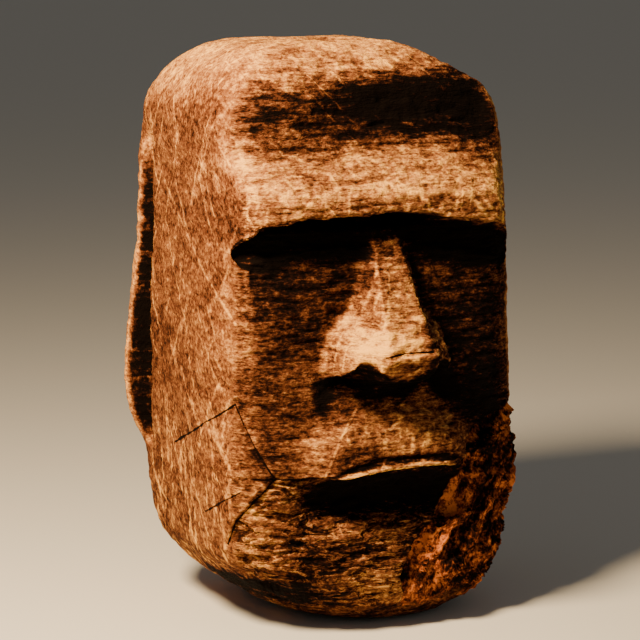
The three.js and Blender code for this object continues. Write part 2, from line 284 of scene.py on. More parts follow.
def upper_face(x, z):
    """Forehead, brow and sockets: how far the face stands out of the block."""
    below, inward = chipped_edge(x) - z, inward_share(x)
    depth = mix(*TROUGH["depth"], ramp(x, *TROUGH["across"]))
    forehead = -depth * bell((z - TROUGH["height"]) / TROUGH["reach"]) * inward
    brow = BROW["out"] * ramp(z, BROW["top"], BROW["full"]) * inward
    cheek = CHEEK["out"] * ramp(z, CHEEK["bottom"], CHEEK["top"]) * inward
    outside = mix(brow, cheek, ramp(below, -BROW["lip"], CHEEK["below"]))
    sunk = mix(outside, -SOCKET["depth"], socket_share(x, z))
    return mix(forehead + brow, sunk, ramp(below, -BROW["lip"], BROW["lip"]))


def nose(x, z):
    """The nose: ridge, wings and arched nostrils."""
    side = np.abs(x)
    t = clamp((NOSE["root"] - z) / (NOSE["root"] - NOSE["tip"]))
    tip_round = NOSE["tip_round"] * ramp(z, NOSE["tip"], NOSE["underside"])
    out = mix(NOSE["root_out"], NOSE["tip_out"], t ** NOSE["curve"]) - tip_round
    ridge, foot = mix(*NOSE["ridge"], t ** NOSE["ridge_curve"]), mix(*NOSE["foot"], t ** NOSE["foot_curve"])
    body = mix(out, -NOSE["behind"], ramp(side, ridge, foot))
    rise = z - WING["height"]
    rise = rise * np.where(rise > 0, WING["above"], WING["below"])
    reach = np.hypot(side - WING["across"], rise) / WING["radius"]
    wing = mix(WING["out"], -NOSE["behind"], ramp(reach, WING["core"], WING["rim"]))
    under = nose_line(x)
    over = 1 - ramp(z, NOSE["root"], NOSE["root"] + NOSE["root_fade"])
    keep = ramp(z, under - NOSE["undercut"], under + NOSE["lip"]) * over
    return mix(-NOSE["gone"], smooth_max(body, wing, WING["join"]), keep)


def nostril_share(x, z):
    """The hollow under each arch of the nose."""
    low = nose_line(x) - NOSTRIL_HOLLOW["below"]
    aside = (np.abs(x) - NOSTRIL["across"]) / NOSTRIL_HOLLOW["wide"]
    return bell(np.hypot(aside, (z - low) / NOSTRIL_HOLLOW["tall"]))


def hollow_share(x, z):
    side = np.abs(x)
    return bell((z - HOLLOW["height"]) / HOLLOW["reach"]) * (1 - ramp(side, HOLLOW["inner"], HOLLOW["outer"]))


def lower_lip_line(x):
    return mix(mouth_line(x), ledge_line(x), LIP["low"])


def lower_face(x, z):
    """Upper lip, parting, lower lip, the hollow under its ledge and the chin."""
    side = np.abs(x)
    down = ramp(z, MUZZLE["top"], MUZZLE["bottom"])
    half = mix(MUZZLE["top_half"], MUZZLE["half_width"], down)
    across = 1 - ramp(side, half - MUZZLE["side"], half + MUZZLE["side"])
    under = ramp(z, MUZZLE["top"] + MUZZLE["fade"], MUZZLE["top"])
    muzzle = mix(MUZZLE["top_out"], MUZZLE["out"], down) * across * under
    on_mouth = 1 - ramp(side, *MOUTH["fade"])
    parting = MOUTH["groove"] * bell((z - mouth_line(x)) / MOUTH["gap"]) * on_mouth
    lip = LIP["out"] * bell((z - lower_lip_line(x)) / LIP["reach"]) * on_mouth
    on_chin = bell((z - CHIN["height"]) / CHIN["reach"]) * (1 - ramp(side, CHIN["inner"], CHIN["outer"]))
    sunk = CHIN["out"] * on_chin - HOLLOW["depth"] * hollow_share(x, z)
    return mix(muzzle - parting + lip, sunk, ramp(z - ledge_line(x), MOUTH["edge"], -MOUTH["edge"]))


def flake_share(x, z):
    """Where the chin's skin has come away, between the crack and the rough rock."""
    inside = ramp(x - along(FLAKE_EDGE, z), *FLAKE["rim"]) * ramp(z - ledge_line(x), *FLAKE["under_ledge"])
    return inside * ramp(z, *FLAKE["foot"])


def face_relief(x, z):
    skin = upper_face(x, z) + lower_face(x, z) - FLAKE["depth"] * flake_share(x, z)
    return smooth_max(skin, nose(x, z), NOSE["join"]) - NOSTRIL_HOLLOW["depth"] * nostril_share(x, z)


def rise_to(at, start, fade):
    return ramp(at, start - fade[0], start + fade[1])


def ear_ribs(z):
    return 0.5 - 0.5 * np.cos(2 * np.pi * z / EAR_RIBS["spacing"])


def ear_relief(y, z):
    """An ear stands out sideways: a flange with a ribbed groove before it and a sunken middle."""
    up_down = rise_to(z, EAR["bottom"], EAR["bottom_fade"]) * (1 - rise_to(z, EAR["top"], EAR["top_fade"]))
    on_ear = rise_to(y, EAR["front"], (EAR["front_fade"], EAR["front_fade"]))
    on_ear = on_ear * (1 - rise_to(y, EAR["back"], EAR["back_fade"]))
    in_groove = bell((y - EAR["front"] + EAR["groove_before"]) / EAR["groove_width"])
    inside = rise_to(y, EAR["front"] + EAR["rim"], (0, EAR["rim_slope"]))
    inside = inside * (1 - rise_to(y, EAR["back"], (EAR["rim"], 0)))
    tall = rise_to(z, EAR["bottom"] + EAR["bowl_end"], (0, EAR["bowl_fade"]))
    tall = tall * (1 - rise_to(z, EAR["top"] - EAR["bowl_end"], (0, EAR["bowl_fade"])))
    sunk = EAR["groove"] * in_groove * (1 - on_ear) + EAR["bowl"] * inside * tall
    ribs = EAR_RIBS["depth"] * ear_ribs(z) * np.maximum(in_groove, inside * tall)
    return up_down * (along(EAR_OUT, z) * on_ear - sunk - ribs)


def rock_share(x, y, z):
    """How far past the rough rock's edge a point lies, and how strong the rock is there."""
    past = x - along(ROCK_EDGE, z)
    fade = ramp(z, 0, ROCK["foot_fade"]) * (1 - ramp(z, ROCK["top"] - ROCK["top_fade"], ROCK["top"]))
    return past, fade * ramp(y, ROCK["side_fade"], -ROCK["side_fade"])


def rock_relief(x, y, z):
    past, fade = rock_share(x, y, z)
    groove = ROCK["groove"] * bell((past + ROCK["groove_width"]) / ROCK["groove_width"])
    return (ROCK["proud"] * ramp(past, 0, ROCK["wall"]) - groove) * fade


def growth_and_shade(x, z):
    """Dark growth and painted shade in the face's shelter: sockets, trough, under the nose and lip, the
    parting.
    """
    side, over_ledge, below_brow = np.abs(x), z - ledge_line(x), chipped_edge(x) - z
    to_end = 1 - ramp(side, socket_end(below_brow) - SOCKET_SHADE_AND_GROWTH["edge"], socket_end(below_brow))
    off_ridge = 1 - band(x, RIDGE_CLEAR["across"]) * (1 - ramp(z, *RIDGE_CLEAR["height"]))
    in_socket = band(below_brow, SOCKET_SHADE_AND_GROWTH["below"]) * to_end * off_ridge
    to_left = mix(TROUGH_SHADE_AND_GROWTH["share"], 1, ramp(x, *TROUGH_SHADE_AND_GROWTH["right"])) * TROUGH_SHADE_AND_GROWTH["strength"]
    in_trough = bell((z - TROUGH_SHADE_AND_GROWTH["height"]) / TROUGH_SHADE_AND_GROWTH["reach"]) * to_left * inward_share(x)
    below_nose = band(nose_line(x) - z, UNDER_NOSE_SHADE_AND_GROWTH["below"]) * (1 - ramp(side, *UNDER_NOSE_SHADE_AND_GROWTH["side"]))
    beside_nose = band(z, NOSE_SHADE["height"]) * band(x, (*NOSE_SHADE["x"], *NOSE["foot"]))
    under_ledge = ramp(over_ledge, *LEDGE_SHADE_AND_GROWTH["under"]) * ramp(x, *LEDGE_SHADE_AND_GROWTH["right"])
    at_foot = band(x, FOOT_SHADE_AND_GROWTH["across"]) * (1 - ramp(z, *FOOT_SHADE_AND_GROWTH["height"]))
    in_parting = bell((z - mouth_line(x)) / PARTING_SHADE_AND_GROWTH) * (1 - ramp(side, *MOUTH["fade"]))
    return np.maximum.reduce([
        in_socket, in_trough, nostril_share(x, z), below_nose, beside_nose * NOSE_SHADE["share"],
        under_ledge * hollow_share(x, z), in_parting, at_foot,
    ])


def wear_and_highlight(x, z):
    """Where the face is paled: wear with painted highlights on the nose's right flank, which faces the key
    light, and on the lips, and a pale patch low on the chin.
    """
    rise = z - NOSE_WEAR_AND_HIGHLIGHT["height"]
    aside = x - NOSE_WEAR_AND_HIGHLIGHT["across"] - NOSE_WEAR_AND_HIGHLIGHT["lean"] * rise
    on_nose = bell(np.hypot(aside / NOSE_WEAR_AND_HIGHLIGHT["wide"], rise / NOSE_WEAR_AND_HIGHLIGHT["tall"]))
    on_nose = on_nose * (1 - ramp(x, *NOSE_WEAR_AND_HIGHLIGHT["end"]))
    on_lip = bell((z - lower_lip_line(x)) / LIP_WEAR_AND_HIGHLIGHT["reach"]) * band(x, LIP_WEAR_AND_HIGHLIGHT["across"])
    patches = [
        band(z, patch["height"]) * band(x, patch["across"]) * patch["share"]
        for patch in (MUZZLE_WEAR_AND_HIGHLIGHT, CHIN_PALE_PATCH)
    ]
    return np.maximum.reduce([on_nose, on_lip, *patches])


def stain(x, z):
    """How brown the face's stone is, as stain and painted shade: all of it below the brow, more towards the
    face's left, away from the key light, and above it only the face's left edge.
    """
    to_left = STAIN_AND_SHADE["far_share"] * ramp(x, *STAIN_AND_SHADE["far"])
    on_jaw = STAIN_AND_SHADE["jaw_share"] * (1 - ramp(x, *STAIN_AND_SHADE["jaw"])) * (1 - ramp(z, *STAIN_AND_SHADE["jaw_height"]))
    on_chin = STAIN_AND_SHADE["chin_share"] * band(z, STAIN_AND_SHADE["chin"])
    at_edge = STAIN_AND_SHADE["edge_share"] * ramp(x, *STAIN_AND_SHADE["edge"])
    on_ridge = STAIN_AND_SHADE["ridge_share"] * band(x, STAIN_AND_SHADE["ridge"]) * ramp(z, *STAIN_AND_SHADE["ridge_height"])
    on_tip = STAIN_AND_SHADE["tip_share"] * band(x, STAIN_AND_SHADE["tip"]) * band(z, STAIN_AND_SHADE["tip_height"])
    below_brow = ramp(chipped_edge(x) - z, *STAIN_AND_SHADE["brow"])
    return below_brow * (1 + to_left - on_jaw + on_chin + on_ridge + on_tip) + at_edge


def surface(angle, height, share):
    """The carved surface and its masks: face, stain and painted shade, rock, flaked chin, relief, growth and
    painted shade, and wear and painted highlights.
    """
    x, y = block_point(angle, height, share)
    frontal = ramp(np.cos(angle), *FRONTAL["turn"]) * ramp(share, *FRONTAL["share"])
    lateral = ramp(np.abs(np.sin(angle)), *LATERAL["turn"]) * ramp(share, *LATERAL["share"])
    rock = rock_relief(x, y, height) / np.maximum(np.hypot(x, y), 1)
    lean = CROWN_SHIFT["x"] * ramp(height, CROWN_SHIFT["low"], CROWN_SHIFT["high"])
    shift = FOOT_SHIFT["x"] * (1 - ramp(height, 0, FOOT_SHIFT["top"])) + lean
    across = x * (1 + rock) + np.sign(x) * lateral * ear_relief(y, height) + shift
    shoulder = HEIGHT - SHOULDER["slope"] * (across - SHOULDER["start"])
    level = -smooth_max(-height, -shoulder, SHOULDER["soft"])
    relief = frontal * face_relief(x, height)
    points = np.stack([across, y * (1 + rock) - relief, level], -1)

    past, fade = rock_share(x, y, height)
    on_rock = ramp(past, *ROCK_COLOUR) * fade
    on_face = ramp(np.cos(angle), *FACE_TURN) * (1 - on_rock)
    # Painted shade with growth before each ear, darker in the hollows between its ribs.
    beside_ear = ramp(np.abs(np.sin(angle)), *LATERAL["growth_and_shade"]) * band(height, EAR_SHADE_AND_GROWTH["height"])
    ear_shade_and_growth = band(y, EAR_SHADE_AND_GROWTH["across"]) * mix(EAR_SHADE_AND_GROWTH["between_ribs"], 1, ear_ribs(height))
    # Painted highlight with wear on each ear's outer face.
    ear_rim_highlight_and_wear = band(y, EAR_RIM_HIGHLIGHT_AND_WEAR["across"]) * EAR_RIM_HIGHLIGHT_AND_WEAR["share"]
    return points, dict(
        streaked=on_face,
        # Stain with painted shade.
        stained=on_face * stain(x, height),
        rock=on_rock,
        flaked=flake_share(x, height) * on_face,
        proud=relief / 100,
        # Painted shade with dark growth in the face's hollows and the ears' grooves.
        dirt=clamp(np.maximum(frontal * growth_and_shade(x, height), beside_ear * ear_shade_and_growth)),
        # Wear with painted highlights.
        worn=np.maximum(frontal * wear_and_highlight(x, height), beside_ear * ear_rim_highlight_and_wear),
    )


def column_angles(front):
    """The angles of the columns, from points spaced round the block's plan at the cheeks."""
    half, near, far = (float(along(size, NOSE["tip"])) for size in (HALF_WIDTH, FRONT_DEPTH, BACK_DEPTH))
    ear_from = EAR["front"] - COLUMNS["before_ear"]
    crowding, back_crowding = COLUMNS["crowding"], COLUMNS["back_crowding"]
    counts = (front, COLUMNS["side"], COLUMNS["ear"], COLUMNS["back"])
    on_front, on_side, on_ear, on_back = (np.arange(count) / count for count in counts)
    runs = [
        ((-half, -near), (half, -near), on_front),
        ((half, -near), (half, ear_from), on_side ** crowding),
        ((half, ear_from), (half, far), on_ear),
        ((half, far), (-half, far), on_back - back_crowding * np.sin(2 * np.pi * on_back) / (2 * np.pi)),
        ((-half, far), (-half, ear_from), on_ear),
        ((-half, ear_from), (-half, -near), 1 - (1 - on_side) ** crowding),
    ]
    return np.concatenate([
        np.arctan2(mix(start[0], end[0], s), -mix(start[1], end[1], s)) for start, end, s in runs
    ])


def edge_rings(stations, count):
    """Rings along one of the block's rounded ends, as heights and shares."""
    steps, places = np.linspace(0, len(stations) - 1, count), np.arange(len(stations))
    return [along(list(zip(places, column)), steps) for column in np.array(stations, float).T]


def ring_profile(wall):
    """The rings from the underside to the crown, as heights and shares of the section."""
    foot, crown = edge_rings(FOOT_EDGE, RINGS["foot"]), edge_rings(CROWN_EDGE, RINGS["crown"])
    wall_heights = np.linspace(FOOT_EDGE[-1][0], CROWN_EDGE[0][0], wall)[1:-1]
    inner = np.linspace(0, 1, RINGS["inner"] + 2)[1:-1]
    foot_share, (crown_height, crown_share) = FOOT_EDGE[0][1], CROWN_EDGE[-1]
    heights = [inner * 0, foot[0], wall_heights, crown[0], mix(crown_height, HEIGHT, inner)]
    shares = [inner * foot_share, foot[1], wall_heights * 0 + 1, crown[1], crown_share * (1 - inner)]
    return np.concatenate(heights), np.minimum(np.concatenate(shares), 1)


def bent_heights(heights, angles):
    """Bends level rings onto the face's sloping and arched lines, straight between one line and the next."""
    height, angle = np.meshgrid(heights, angles, indexing="ij")
    x, _ = block_point(angle, height, 1)
    flat = x * 0
    lines = [
        (HOLLOW["height"] - HOLLOW["reach"], flat + HOLLOW["height"] - HOLLOW["reach"]),
        (MOUTH["ledge"], ledge_line(x)), (MOUTH["height"], mouth_line(x)), (NOSE["underside"], nose_line(x)),
        (BROW["low"], flat + BROW["low"]), (BROW["edge"], brow_edge(x)), (BROW["high"], flat + BROW["high"]),
    ]
    bent = height.copy()
    for (low, low_line), (high, high_line) in zip(lines, lines[1:]):
        between = (height >= low) & (height < high)
        bent = np.where(between, mix(low_line, high_line, (height - low) / (high - low)), bent)
    return mix(height, bent, ramp(np.cos(angle), *RINGS["bend_turn"]))


def closed_faces(rings, columns):
    """Quads between the rings, and a fan of triangles at each pole: the foot's point, then the crown's."""
    ring, column = np.meshgrid(np.arange(rings - 1), np.arange(columns), indexing="ij")
    low, high = ring * columns, (ring + 1) * columns
    after = (column + 1) % columns
    quads = np.stack([low + column, low + after, high + after, high + column], -1).reshape(-1, 4)
    foot_pole, crown_pole, top = rings * columns, rings * columns + 1, (rings - 1) * columns
    pairs = [(step, (step + 1) % columns) for step in range(columns)]
    foot_fan = [(foot_pole, b, a) for a, b in pairs]
    crown_fan = [(top + a, top + b, crown_pole) for a, b in pairs]
    return quads.tolist() + foot_fan + crown_fan


def flattened(points):
    """Points with nearly all of their depth out of the face's right corner taken away."""
    return points - ALONG_OUT * (points @ CORNER_OUT)[..., None] * CORNER_OUT


def line_distance(points, path):
    """Distance from points to a path, in which depth out of the face's right corner hardly counts."""
    nearest = np.full(points.shape[:-1], np.inf)
    flat_path = flattened(np.array(path, float))
    for start, end in zip(flat_path, flat_path[1:]):
        rel, run = flattened(points) - start, end - start
        t = clamp((rel @ run) / (run @ run))
        nearest = np.minimum(nearest, np.linalg.norm(rel - t[..., None] * run, axis=-1))
    return nearest


def linear(hex_colour):
    """An sRGB hex colour as linear RGB."""
    parts = [int(hex_colour[i:i + 2], 16) / 255 for i in (1, 3, 5)]
    return tuple(c / 12.92 if c <= 0.04045 else ((c + 0.055) / 1.055) ** 2.4 for c in parts)


def add(tree, kind, inputs=None, output=0, **settings):
    """Adds a node with its settings and its inputs' values or links, and returns one of its outputs."""
    node = tree.nodes.new(kind)
    for name, value in settings.items():
        setattr(node, name, value)
    for key, value in (inputs or {}).items():
        if isinstance(value, bpy.types.NodeSocket):
            tree.links.new(value, node.inputs[key])
        else:
            node.inputs[key].default_value = value
    return node.outputs[output] if node.outputs else node


def layered(tree, *layers):
    """Adds up the layers of a tone or a relief.

    A layer is its weight, then what that is multiplied by: patterns, or (pattern, low, high) for one that is
    taken smoothly from 0 at low to 1 at high.
    """
    total = 0.0
    for weight, *factors in layers:
        value = weight
        for factor in factors:
            if isinstance(factor, tuple):
                limits = {"Value": factor[0], "From Min": factor[1], "From Max": factor[2]}
                factor = add(tree, "ShaderNodeMapRange", limits, interpolation_type="SMOOTHSTEP")
            value = add(tree, "ShaderNodeMath", {0: value, 1: factor}, operation="MULTIPLY")
        total = add(tree, "ShaderNodeMath", {0: total, 1: value}, operation="ADD")
    return total


def uneven(tree, place, size, detail=3.0, roughness=0.55, distortion=0.0):
    """Unevenness from 0 to 1, whose features have a size in metres along X, Y and Z."""
    extent = add(tree, "ShaderNodeCombineXYZ", dict(enumerate(size)))
    scaled = add(tree, "ShaderNodeVectorMath", {0: place, 1: extent}, operation="DIVIDE")
    return add(tree, "ShaderNodeTexNoise", {
        "Vector": scaled, "Scale": 1.0, "Detail": detail, "Roughness": roughness, "Distortion": distortion,
    })


def level_streaks(tree, place, height, length, wander):
    """Unevenness drawn out along the stone's level bedding, to a length in heights."""
    reach = layered(tree, (length, height))
    return uneven(tree, place, (reach, reach, height), 4.0, 0.62, wander)


def contours(tree, pattern, width):
    """Thin lines where a pattern crosses its middle."""
    off = add(tree, "ShaderNodeMath", {0: pattern, 1: 0.5}, operation="SUBTRACT")
    gap = add(tree, "ShaderNodeMath", {0: off}, operation="ABSOLUTE")
    return layered(tree, (1.0, (gap, width, 0.0)))


def strokes(tree, place, axis, degrees, spacing, width):
    """Light strokes that run at an angle, a few centimetres apart and broken into short lengths."""
    turned = add(tree, "ShaderNodeVectorRotate", {
        "Vector": place, "Center": (0, 0, 0), "Axis": axis, "Angle": math.radians(degrees),
    }, rotation_type="AXIS_ANGLE")
    drawn_out = uneven(tree, turned, (spacing, spacing, spacing * 14), 1.0, 0.3)
    breaks = uneven(tree, turned, (spacing * 0.8, spacing * 0.8, spacing * 3.4), 1.0)
    return layered(tree, (1.0, contours(tree, drawn_out, 0.5 * width / spacing), (breaks, 0.5, 0.6)))


def rock_ledges(tree, place, size):
    """Slanting ledges that follow the rough rock's own edge, from 0 on a ledge to 1 between two."""
    turned = add(tree, "ShaderNodeVectorRotate", {
        "Vector": place, "Center": (0, 0, 0), "Axis": (0, 1, 0), "Angle": math.radians(-32),
    }, rotation_type="AXIS_ANGLE")
    long = layered(tree, (3.0, size))
    return layered(tree, (1.0, (uneven(tree, turned, (size, size, long), 4.0, 0.5, 0.6), 0.62, 0.4)))


def pits(tree, place, spacing):
    """Round holes where a hard fragment has dropped out, in about a third of the cells."""
    scale = add(tree, "ShaderNodeMath", {0: 1.0, 1: spacing}, operation="DIVIDE")
    gap = add(tree, "ShaderNodeTexVoronoi", {"Vector": place, "Scale": scale}, "Distance")
    chosen = add(tree, "ShaderNodeSeparateXYZ", {0: gap.node.outputs["Color"]})
    return layered(tree, (1.0, (gap, 0.3, 0.1), (chosen, 0.6, 0.75)))


def skin_tree():
    """Geometry Nodes: wears the dressed skin with lumps, bedding streaks, pick marks, pits and rough rock."""
    tree = bpy.data.node_groups.new("weathered_tuff_skin", "GeometryNodeTree")
    new = tree.interface.new_socket
    new("Geometry", in_out="INPUT", socket_type="NodeSocketGeometry")
    for name in (
        "Lump Depth", "Streak Spacing", "Streak Depth", "Peck Size", "Peck Depth", "Pit Spacing", "Pit Depth",
        "Groove Spacing", "Groove Depth", "Rock Size", "Rock Depth",
    ):
        new(name, in_out="INPUT", socket_type="NodeSocketFloat").subtype = "DISTANCE"
    new("Seed", in_out="INPUT", socket_type="NodeSocketFloat")
    new("Stone", in_out="INPUT", socket_type="NodeSocketMaterial")
    new("Geometry", in_out="OUTPUT", socket_type="NodeSocketGeometry")
    given = tree.nodes.new("NodeGroupInput").outputs
    position = add(tree, "GeometryNodeInputPosition")
    place = add(tree, "ShaderNodeVectorMath", {0: position, 1: given["Seed"]}, operation="ADD")
    mask = {
        name: add(tree, "GeometryNodeInputNamedAttribute", {"Name": name}, "Attribute", data_type="FLOAT")
        for name in ("streaked", "rock", "flaked", "above_foot")
    }
    peck = given["Peck Size"]
    small_rock = layered(tree, (SMALL_ROCK, given["Rock Size"]))
    lumps = uneven(tree, place, (0.16, 0.16, 0.13), 2.0)
    streaks = level_streaks(tree, place, given["Streak Spacing"], 6.0, 0.4)
    grooves = level_streaks(tree, place, given["Groove Spacing"], 3.6, 1.1)
    depth = layered(
        tree,
        (1.0, (lumps, 0.3, 0.7), given["Lump Depth"]),
        (0.2, (streaks, 0.56, 0.36), given["Streak Depth"]),
        (0.8, (streaks, 0.56, 0.36), mask["streaked"], given["Streak Depth"]),
        (1.0, (uneven(tree, place, (peck, peck, peck), 3.0, 0.6), 0.34, 0.66), given["Peck Depth"]),
        (1.0, pits(tree, place, given["Pit Spacing"]), given["Pit Depth"]),
        (1.0, (grooves, 0.58, 0.4), mask["flaked"], given["Groove Depth"]),
        (1.0, rock_ledges(tree, place, given["Rock Size"]), mask["rock"], given["Rock Depth"]),
        (0.4, rock_ledges(tree, place, small_rock), mask["rock"], given["Rock Depth"]),
    )
    inward = layered(tree, (-1.0, depth, mask["above_foot"]))
    normal = add(tree, "GeometryNodeInputNormal")
    offset = add(tree, "ShaderNodeVectorMath", {0: normal, 3: inward}, operation="SCALE")
    worn = add(tree, "GeometryNodeSetPosition", {"Geometry": given["Geometry"], "Offset": offset})
    real = add(tree, "GeometryNodeRealizeInstances", {"Geometry": worn})
    stone = add(tree, "GeometryNodeSetMaterial", {"Geometry": real, "Material": given["Stone"]})
    add(tree, "NodeGroupOutput", {0: stone})
    return tree


def line_group():
    """A shader group: the distance from a point to the stretch between two others."""
    group = bpy.data.node_groups.new("distance_to_line", "ShaderNodeTree")
    for name in ("Point", "Start", "End"):
        group.interface.new_socket(name, in_out="INPUT", socket_type="NodeSocketVector")
    group.interface.new_socket("Distance", in_out="OUTPUT", socket_type="NodeSocketFloat")
    given = group.nodes.new("NodeGroupInput").outputs
    rel = add(group, "ShaderNodeVectorMath", {0: given["Point"], 1: given["Start"]}, operation="SUBTRACT")
    run = add(group, "ShaderNodeVectorMath", {0: given["End"], 1: given["Start"]}, operation="SUBTRACT")
    dot = add(group, "ShaderNodeVectorMath", {0: rel, 1: run}, "Value", operation="DOT_PRODUCT")
    square = add(group, "ShaderNodeVectorMath", {0: run, 1: run}, "Value", operation="DOT_PRODUCT")
    t = add(group, "ShaderNodeMath", {0: dot, 1: square}, operation="DIVIDE", use_clamp=True)
    foot = add(group, "ShaderNodeVectorMath", {0: run, 3: t}, operation="SCALE")
    gap = add(group, "ShaderNodeVectorMath", {0: rel, 1: foot}, "Value", operation="DISTANCE")
    add(group, "NodeGroupOutput", {0: gap})
    return group


def nearest_line(tree, point, paths, shift):
    """The distance in metres to the nearest of the paths, which a shift takes from the block's place."""
    group = bpy.data.node_groups.get("distance_to_line") or line_group()
    nearest = 1.0
    for path in paths:
        flat = flattened((np.array(path) + shift) * MM).tolist()
        for start, end in zip(flat, flat[1:]):
            ends = {"Point": point, "Start": start, "End": end}
            gap = add(tree, "ShaderNodeGroup", ends, node_tree=group)
            nearest = add(tree, "ShaderNodeMath", {0: nearest, 1: gap}, operation="MINIMUM")
    return nearest


def tone_colours(tree, tone, stops):
    """The colours that a tone passes through, from dark to pale."""
    colour = add(tree, "ShaderNodeValToRGB", {0: tone})
    elements = colour.node.color_ramp.elements
    while len(elements) > 1:
        elements.remove(elements[-1])
    elements[0].position, elements[0].color = stops[0][0], (*stops[0][1], 1.0)
    for position, stop in stops[1:]:
        elements.new(position).color = (*stop, 1.0)
    return colour


def tuff_material(palette, sizes, shift):
    """Lapilli tuff: soft yellow-brown volcanic ash stone full of hard fragments, dressed with stone picks.

    It has no gloss at all. Its proud and upward parts are painted pale, as wear and painted highlight; its
    sheltered parts dark, as stain, growth and painted shade; level bedding streaks weather out of the face
    with painted shade in their grooves; and where it has broken it is red-brown inside.
    """
    material = bpy.data.materials.new("weathered_lapilli_tuff")
    material.use_nodes = True
    tree = material.node_tree
    tree.nodes.clear()
    position = add(tree, "ShaderNodeTexCoord", output="Object")
    place = add(tree, "ShaderNodeVectorMath", {0: position, 1: (sizes["seed"],) * 3}, operation="ADD")
    mask = {
        name: add(tree, "ShaderNodeAttribute", {}, "Fac", attribute_name=name, attribute_type="GEOMETRY")
        for name in ("streaked", "stained", "rock", "flaked", "dirt", "worn", "proud", "skyward", "corner")
    }
    on_side = layered(tree, (1.0, (mask["streaked"], 0.7, 0.2)))
    on_front = layered(tree, (1.0, (mask["streaked"], 0.2, 0.7)))
    across_face, across_side = (0, 1, 0), (1, 0, 0)

    # Patches 0.2 m wide and mottling 30 mm wide. The tuff's own grain of 1 to 3 mm is too fine to show, so it
    # is drawn 6 to 12 mm wide, as the pick's small cuts: slanting on the sides, level on the face.
    patches = uneven(tree, place, (0.22, 0.22, 0.16), 2.0)
    mottle = uneven(tree, place, (0.03, 0.03, 0.024), 3.0, 0.6)
    slanted = add(tree, "ShaderNodeVectorRotate", {
        "Vector": place, "Center": (0, 0, 0), "Axis": across_side, "Angle": math.radians(24),
    }, rotation_type="AXIS_ANGLE")
    side_cuts = uneven(tree, slanted, (0.0075, 0.0075, 0.0105), 3.0, 0.7)
    face_cuts = uneven(tree, place, (0.012, 0.012, 0.006), 3.0, 0.7)
    grain = layered(tree, (1.0, side_cuts, on_side), (1.0, face_cuts, on_front))

    # On the face, dark level streaks with thinner ones between them, darkest in the skin's grooves as painted
    # shade, and on the chin wavy pale ridges, which are painted highlights.
    streak = sizes["streak_spacing"]
    broad = level_streaks(tree, place, streak, 6.0, 0.4)
    fine = level_streaks(tree, place, streak * 0.45, 6.0, 0.4)
    dark_streaks = layered(
        tree, (0.6, (broad, 0.56, 0.36), mask["streaked"]), (0.4, (fine, 0.56, 0.36), mask["streaked"]),
    )
    grooves = level_streaks(tree, place, sizes["groove_spacing"], 3.6, 1.1)
    ridge_highlights = contours(tree, grooves, 0.05)

    # Light scratches: slanting both ways, and upright low on the sides and on the nose.
    spacing, width = sizes["scratch_spacing"], sizes["scratch_width"]
    low = (add(tree, "ShaderNodeSeparateXYZ", {0: position}, 2), 0.66, 0.42)
    clear_of_stain_and_shade, stands_out, on_nose = (
        (mask["stained"], 1.0, 0.3), (mask["proud"], 0.05, 0.3), (mask["proud"], 0.25, 0.5),
    )
    scratches = layered(
        tree,
        (0.9, strokes(tree, place, across_side, 34, spacing, width), on_side),
        (0.7, strokes(tree, place, across_side, -27, spacing, width), on_side),
        (1.0, strokes(tree, place, across_side, 3, spacing * 0.6, width * 1.6), on_side, low),
        (0.8, strokes(tree, place, across_face, 40, spacing, width), on_front, clear_of_stain_and_shade),
        (0.8, strokes(tree, place, across_face, -46, spacing, width), on_front, stands_out),
        (0.8, strokes(tree, place, across_face, -9, spacing * 0.7, width), on_front, on_nose),
    )
    scratches = layered(tree, (1.0, scratches, (mask["flaked"], 1, 0), (mask["rock"], 1, 0)))

    # Cracks and the few long scratches, on their own lines.
    outward = tuple(CORNER_OUT)
    along_out = add(tree, "ShaderNodeVectorMath", {0: position, 1: outward}, "Value", operation="DOT_PRODUCT")
    out = layered(tree, (ALONG_OUT, along_out))
    back = add(tree, "ShaderNodeVectorMath", {0: outward, 3: out}, operation="SCALE")
    point = add(tree, "ShaderNodeVectorMath", {0: position, 1: back}, operation="SUBTRACT")
    crack_width = sizes["crack_width"]
    waver = 0.007
    from_crack, from_hair, from_scratch = (
        layered(tree, (1.0, nearest_line(tree, point, paths, shift)), (waver, pattern), (-waver / 2,))
        for paths, pattern in ((CRACKS, mottle), (HAIRLINES, mottle), (SCRATCHES, grain))
    )
    crack = layered(tree, (1.0, (from_crack, crack_width, crack_width * 0.3)))
    hair = layered(tree, (1.0, (from_hair, crack_width, 0.0), (grain, 0.4, 0.52)))
    cracked = add(tree, "ShaderNodeMath", {0: crack, 1: hair}, operation="MAXIMUM")
    long_scratch = layered(tree, (1.0, (from_scratch, 0.005, 0.001), (mottle, 0.36, 0.5)))

